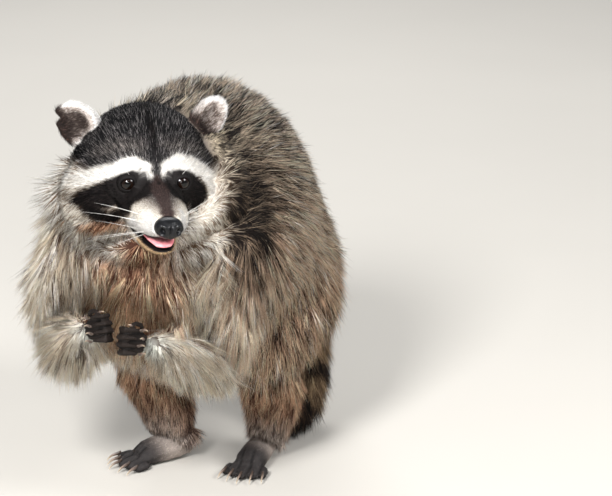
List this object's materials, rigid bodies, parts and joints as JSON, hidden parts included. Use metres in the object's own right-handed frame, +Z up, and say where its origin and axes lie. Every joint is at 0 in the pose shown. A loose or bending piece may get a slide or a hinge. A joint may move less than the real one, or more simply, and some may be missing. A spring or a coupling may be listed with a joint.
{
  "type": "raccoon",
  "caption": "Still life-size model of a raccoon in a thick winter coat, crouched on its hind feet with its paws held together and its head turned to one side.",
  "frame": {"origin": "on the floor under the middle of the box round the whole animal", "axes": "+Z up, -Y the way the trunk faces, +X the animal's left"},
  "size_m": [0.2256, 0.3564, 0.3523],
  "materials": {
    "back_coat": "thick grizzled fur, dark guard hairs with cream tips",
    "neck_coat": "thick grizzled fur",
    "chest_coat": "long soft pale fur",
    "leg_coat": "soft grey-brown fur",
    "tail_coat": "bushy fur, dark with pale rings",
    "face_coat": "short dense fur with a black mask and white brows and lips",
    "ear_coat": "short fur with a white rim",
    "eye": "wet, near black",
    "nose_leather": "moist black leather",
    "tongue": "moist",
    "paw_skin": "dark skin under very short fur",
    "claw": "smooth horn"
  },
  "bodies": {
    "root": {"head": "face_coat", "eye_left": "eye", "eye_right": "eye", "ear_left": "ear_coat", "ear_right": "ear_coat", "nose": "nose_leather", "lower_jaw": "chest_coat", "tongue": "tongue", "neck": "neck_coat", "chest": "chest_coat", "belly": "back_coat", "rump": "back_coat", "tail_base": "tail_coat", "tail_middle": "tail_coat", "tail_tip": "tail_coat", "upper_arm_left": "chest_coat", "upper_arm_right": "chest_coat", "forearm_left": "chest_coat", "forearm_right": "chest_coat", "hand_left": "paw_skin", "hand_right": "paw_skin", "hand_claw_left_1": "claw", "hand_claw_left_2": "claw", "hand_claw_left_3": "claw", "hand_claw_left_4": "claw", "hand_claw_left_5": "claw", "hand_claw_right_1": "claw", "hand_claw_right_2": "claw", "hand_claw_right_3": "claw", "hand_claw_right_4": "claw", "hand_claw_right_5": "claw", "thigh_left": "leg_coat", "thigh_right": "leg_coat", "shank_left": "leg_coat", "shank_right": "leg_coat", "foot_left": "paw_skin", "foot_right": "paw_skin", "foot_claw_left_1": "claw", "foot_claw_left_2": "claw", "foot_claw_left_3": "claw", "foot_claw_left_4": "claw", "foot_claw_left_5": "claw", "foot_claw_right_1": "claw", "foot_claw_right_2": "claw", "foot_claw_right_3": "claw", "foot_claw_right_4": "claw", "foot_claw_right_5": "claw"}
  },
  "joints": []
}
